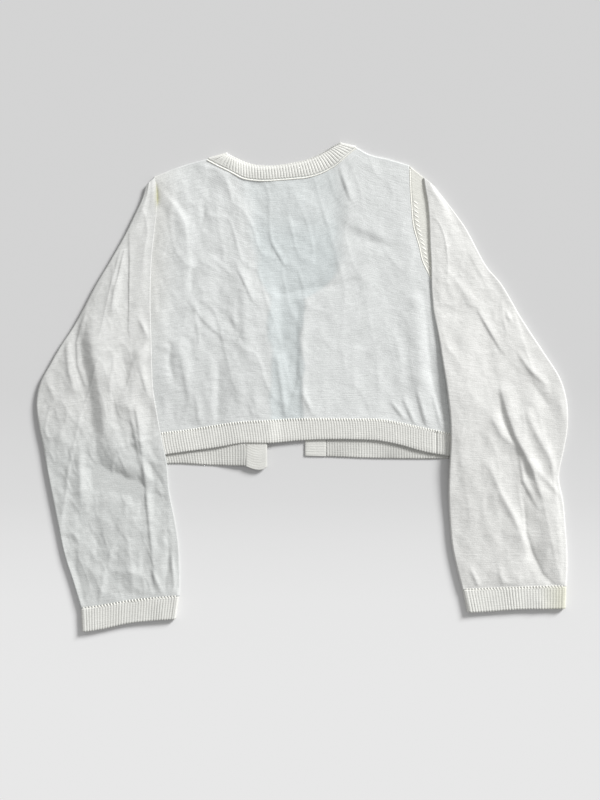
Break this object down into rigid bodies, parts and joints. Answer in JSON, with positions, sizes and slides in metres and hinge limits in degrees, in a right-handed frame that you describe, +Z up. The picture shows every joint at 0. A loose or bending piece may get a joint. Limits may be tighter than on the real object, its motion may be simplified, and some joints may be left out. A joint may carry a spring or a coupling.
{
  "type": "open-knit cardigan",
  "caption": "Girl's cropped fine-knit cardigan in ivory white, laid flat with its back up and its sleeves down.",
  "frame": {"origin": "middle of the overall box, on the surface that the garment lies on", "axes": "+X across the back towards the sleeve on the picture's right, +Y from the hem towards the neck, +Z up from the surface, out of the back"},
  "size_m": [0.4779, 0.44, 0.0075],
  "materials": {
    "jersey_knit": "matte",
    "rib_knit": "matte",
    "button_plastic": "gloss"
  },
  "bodies": {
    "root": {"back": "jersey_knit", "front_left": "jersey_knit", "front_right": "jersey_knit", "sleeve_left": "jersey_knit", "sleeve_right": "jersey_knit", "neckband": "rib_knit", "back_hem_rib": "rib_knit", "front_left_hem_rib": "rib_knit", "front_right_hem_rib": "rib_knit", "button_band": "rib_knit", "buttonhole_band": "rib_knit", "cuff_left": "rib_knit", "cuff_right": "rib_knit", "button_1": "button_plastic", "button_2": "button_plastic", "button_3": "button_plastic", "button_4": "button_plastic", "button_5": "button_plastic"}
  },
  "joints": []
}
